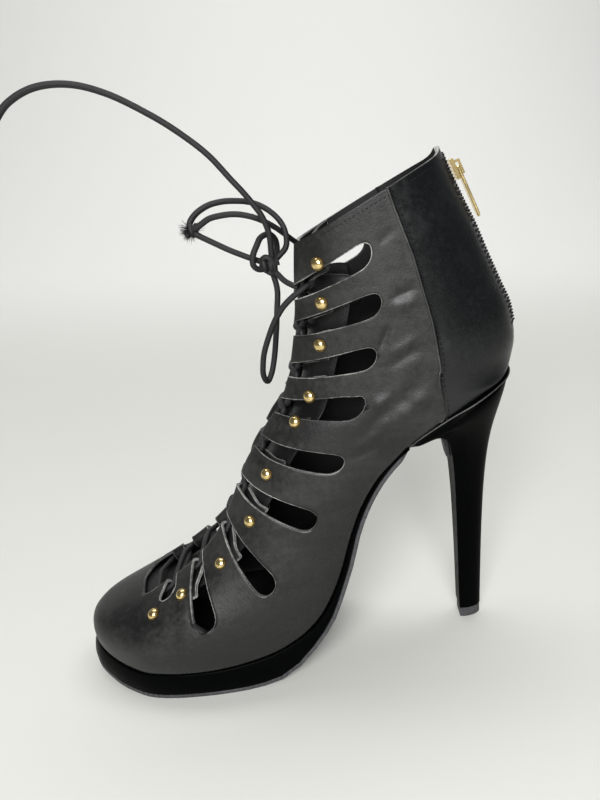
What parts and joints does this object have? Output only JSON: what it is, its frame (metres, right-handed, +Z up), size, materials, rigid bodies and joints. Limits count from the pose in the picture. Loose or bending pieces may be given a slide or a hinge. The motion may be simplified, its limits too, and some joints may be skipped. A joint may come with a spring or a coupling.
{
  "type": "lace up heel",
  "caption": "Platform stiletto ankle bootie with folded, riveted lace tabs up the front, a tongue, slits between the tabs, a round lace and a back zip.",
  "frame": {"origin": "centre of the heel tip's rest face, on the floor", "axes": "+X forwards to the toe, +Y to the wearer's left (the outer side of this left shoe), +Z up"},
  "size_m": [0.2033, 0.0776, 0.2487],
  "materials": {
    "black_leather": "smooth semi-matt black leather",
    "black_lining": "matt black lining",
    "sole_rubber": "matt dark grey ribbed sole",
    "gold_metal": "polished gold-coloured metal",
    "zip_tape": "matt black woven tape and teeth",
    "lace_cord": "round black braided lace"
  },
  "bodies": {
    "shoe": {"heel": "black_leather", "insole": "black_lining", "lace_crossings": "lace_cord", "lace_end_long": "lace_cord", "lace_end_short": "lace_cord", "lace_knot": "lace_cord", "lace_loop_front": "lace_cord", "lace_loop_hanging": "lace_cord", "lace_loop_small": "lace_cord", "lace_tie": "lace_cord", "outsole": "sole_rubber", "platform": "black_leather", "rivet_inner_1": "gold_metal", "rivet_inner_10": "gold_metal", "rivet_inner_2": "gold_metal", "rivet_inner_3": "gold_metal", "rivet_inner_4": "gold_metal", "rivet_inner_5": "gold_metal", "rivet_inner_6": "gold_metal", "rivet_inner_7": "gold_metal", "rivet_inner_8": "gold_metal", "rivet_inner_9": "gold_metal", "rivet_outer_1": "gold_metal", "rivet_outer_10": "gold_metal", "rivet_outer_2": "gold_metal", "rivet_outer_3": "gold_metal", "rivet_outer_4": "gold_metal", "rivet_outer_5": "gold_metal", "rivet_outer_6": "gold_metal", "rivet_outer_7": "gold_metal", "rivet_outer_8": "gold_metal", "rivet_outer_9": "gold_metal", "tongue": "black_leather", "top_lift": "sole_rubber", "upper": "black_leather", "zip_slider": "gold_metal", "zip_tape": "zip_tape", "zip_teeth": "zip_tape"},
    "zip_pull_tab": {"zip_pull": "gold_metal"}
  },
  "joints": [
    {"name": "zip_pull_hinge", "type": "hinge", "parent": "shoe", "child": "zip_pull_tab", "pos_m": [0.00477, 0, 0.21997], "axis": [0, 1, 0], "range_deg": [0, 150]}
  ]
}
